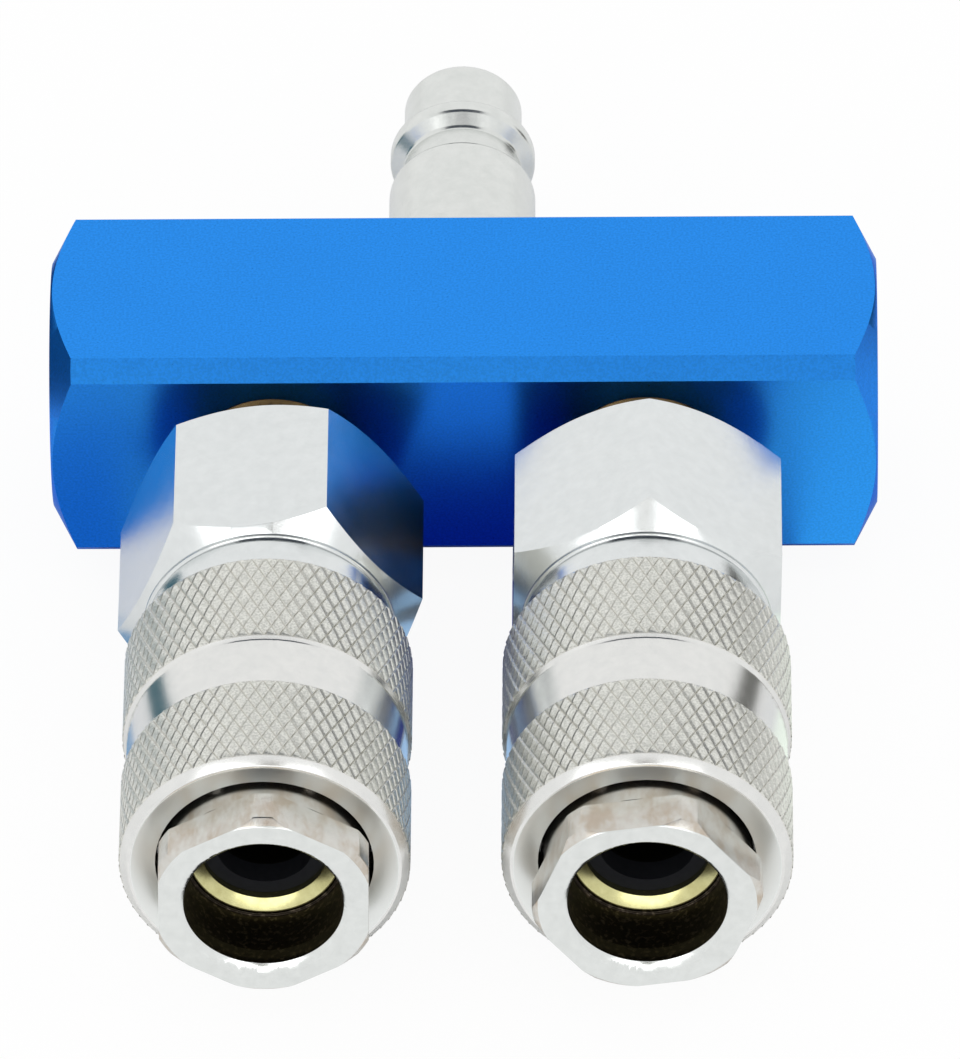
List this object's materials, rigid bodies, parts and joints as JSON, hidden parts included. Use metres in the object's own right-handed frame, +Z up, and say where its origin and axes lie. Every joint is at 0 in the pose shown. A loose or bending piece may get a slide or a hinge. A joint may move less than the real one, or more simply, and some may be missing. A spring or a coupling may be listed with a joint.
{
  "type": "two-way air distributor",
  "caption": "Square-bar compressed air splitter with a quick-coupling plug at the back and two knurled push-in couplers in front.",
  "frame": {"origin": "centre of the bar's flat underside, between the coupler side and the plug side", "axes": "+X along the bar to the right seen from the coupler side, +Y out of the back along the inlet plug, +Z up out of the bar's top face"},
  "size_m": [0.0658, 0.0967, 0.0242],
  "materials": {
    "anodised_bar": "blue satin anodised",
    "plug_steel": "plain turned",
    "nickel_plug": "nickel plated, turned",
    "nickel_adapter": "nickel plated, satin",
    "nickel_body": "nickel plated, turned",
    "nickel_sleeve": "nickel plated, diamond knurled",
    "turned_brass": "bright turned",
    "black_rubber": "matt",
    "spring_steel": "drawn wire",
    "ball_steel": "polished"
  },
  "bodies": {
    "distributor": {"manifold_bar": "anodised_bar", "gallery_plug": "plug_steel", "inlet_plug": "nickel_plug", "left_adapter": "nickel_adapter", "left_body_seal": "black_rubber", "left_coupler_body": "nickel_body", "left_sleeve_spring": "spring_steel", "left_valve_spring": "spring_steel", "right_adapter": "nickel_adapter", "right_body_seal": "black_rubber", "right_coupler_body": "nickel_body", "right_sleeve_spring": "spring_steel", "right_valve_spring": "spring_steel"},
    "left_washer": {"left_spring_washer": "spring_steel"},
    "left_sleeve": {"left_sleeve": "nickel_sleeve"},
    "left_valve": {"left_valve": "turned_brass", "left_tip_seal": "black_rubber", "left_valve_seal": "black_rubber"},
    "left_ball_1": {"left_ball_1": "ball_steel"},
    "left_ball_2": {"left_ball_2": "ball_steel"},
    "left_ball_3": {"left_ball_3": "ball_steel"},
    "left_ball_4": {"left_ball_4": "ball_steel"},
    "left_ball_5": {"left_ball_5": "ball_steel"},
    "left_ball_6": {"left_ball_6": "ball_steel"},
    "right_washer": {"right_spring_washer": "spring_steel"},
    "right_sleeve": {"right_sleeve": "nickel_sleeve"},
    "right_valve": {"right_valve": "turned_brass", "right_tip_seal": "black_rubber", "right_valve_seal": "black_rubber"},
    "right_ball_1": {"right_ball_1": "ball_steel"},
    "right_ball_2": {"right_ball_2": "ball_steel"},
    "right_ball_3": {"right_ball_3": "ball_steel"},
    "right_ball_4": {"right_ball_4": "ball_steel"},
    "right_ball_5": {"right_ball_5": "ball_steel"},
    "right_ball_6": {"right_ball_6": "ball_steel"}
  },
  "joints": [
    {"name": "left_sleeve_slide", "type": "slide", "parent": "distributor", "child": "left_washer", "axis": [0, -1, 0], "range_m": [0, 0.00161], "deforming": ["left_sleeve_spring"]},
    {"name": "left_sleeve_turn", "type": "hinge", "parent": "left_washer", "child": "left_sleeve", "pos_m": [-0.01515, -0.0338, 0.01], "axis": [0, -1, 0], "continuous": true},
    {"name": "left_valve_slide", "type": "slide", "parent": "distributor", "child": "left_valve", "axis": [0, 1, 0], "range_m": [0, 0.00836], "stiffness_N_per_m": 300, "springref_m": -0.015, "deforming": ["left_valve_spring"]},
    {"name": "left_ball_1_slide", "type": "slide", "parent": "distributor", "child": "left_ball_1", "axis": [-1, 0, 0], "range_m": [0, 0.00059]},
    {"name": "left_ball_2_slide", "type": "slide", "parent": "distributor", "child": "left_ball_2", "axis": [-0.5, 0, -0.866], "range_m": [0, 0.00059]},
    {"name": "left_ball_3_slide", "type": "slide", "parent": "distributor", "child": "left_ball_3", "axis": [0.5, 0, -0.866], "range_m": [0, 0.00059]},
    {"name": "left_ball_4_slide", "type": "slide", "parent": "distributor", "child": "left_ball_4", "axis": [1, 0, 0], "range_m": [0, 0.00059]},
    {"name": "left_ball_5_slide", "type": "slide", "parent": "distributor", "child": "left_ball_5", "axis": [0.5, 0, 0.866], "range_m": [0, 0.00059]},
    {"name": "left_ball_6_slide", "type": "slide", "parent": "distributor", "child": "left_ball_6", "axis": [-0.5, 0, 0.866], "range_m": [0, 0.00059]},
    {"name": "right_sleeve_slide", "type": "slide", "parent": "distributor", "child": "right_washer", "axis": [0, -1, 0], "range_m": [0, 0.00161], "deforming": ["right_sleeve_spring"]},
    {"name": "right_sleeve_turn", "type": "hinge", "parent": "right_washer", "child": "right_sleeve", "pos_m": [0.01445, -0.0338, 0.01], "axis": [0, -1, 0], "continuous": true},
    {"name": "right_valve_slide", "type": "slide", "parent": "distributor", "child": "right_valve", "axis": [0, 1, 0], "range_m": [0, 0.00836], "stiffness_N_per_m": 300, "springref_m": -0.015, "deforming": ["right_valve_spring"]},
    {"name": "right_ball_1_slide", "type": "slide", "parent": "distributor", "child": "right_ball_1", "axis": [-1, 0, 0], "range_m": [0, 0.00059]},
    {"name": "right_ball_2_slide", "type": "slide", "parent": "distributor", "child": "right_ball_2", "axis": [-0.5, 0, -0.866], "range_m": [0, 0.00059]},
    {"name": "right_ball_3_slide", "type": "slide", "parent": "distributor", "child": "right_ball_3", "axis": [0.5, 0, -0.866], "range_m": [0, 0.00059]},
    {"name": "right_ball_4_slide", "type": "slide", "parent": "distributor", "child": "right_ball_4", "axis": [1, 0, 0], "range_m": [0, 0.00059]},
    {"name": "right_ball_5_slide", "type": "slide", "parent": "distributor", "child": "right_ball_5", "axis": [0.5, 0, 0.866], "range_m": [0, 0.00059]},
    {"name": "right_ball_6_slide", "type": "slide", "parent": "distributor", "child": "right_ball_6", "axis": [-0.5, 0, 0.866], "range_m": [0, 0.00059]}
  ],
  "couplings": [
    {"joint": "left_valve_slide", "follows": "left_sleeve_slide", "ratio": 5.2068},
    {"joint": "left_ball_1_slide", "follows": "left_sleeve_slide", "ratio": 0.36754},
    {"joint": "left_ball_2_slide", "follows": "left_sleeve_slide", "ratio": 0.36754},
    {"joint": "left_ball_3_slide", "follows": "left_sleeve_slide", "ratio": 0.36754},
    {"joint": "left_ball_4_slide", "follows": "left_sleeve_slide", "ratio": 0.36754},
    {"joint": "left_ball_5_slide", "follows": "left_sleeve_slide", "ratio": 0.36754},
    {"joint": "left_ball_6_slide", "follows": "left_sleeve_slide", "ratio": 0.36754},
    {"joint": "right_valve_slide", "follows": "right_sleeve_slide", "ratio": 5.2068},
    {"joint": "right_ball_1_slide", "follows": "right_sleeve_slide", "ratio": 0.36754},
    {"joint": "right_ball_2_slide", "follows": "right_sleeve_slide", "ratio": 0.36754},
    {"joint": "right_ball_3_slide", "follows": "right_sleeve_slide", "ratio": 0.36754},
    {"joint": "right_ball_4_slide", "follows": "right_sleeve_slide", "ratio": 0.36754},
    {"joint": "right_ball_5_slide", "follows": "right_sleeve_slide", "ratio": 0.36754},
    {"joint": "right_ball_6_slide", "follows": "right_sleeve_slide", "ratio": 0.36754}
  ]
}
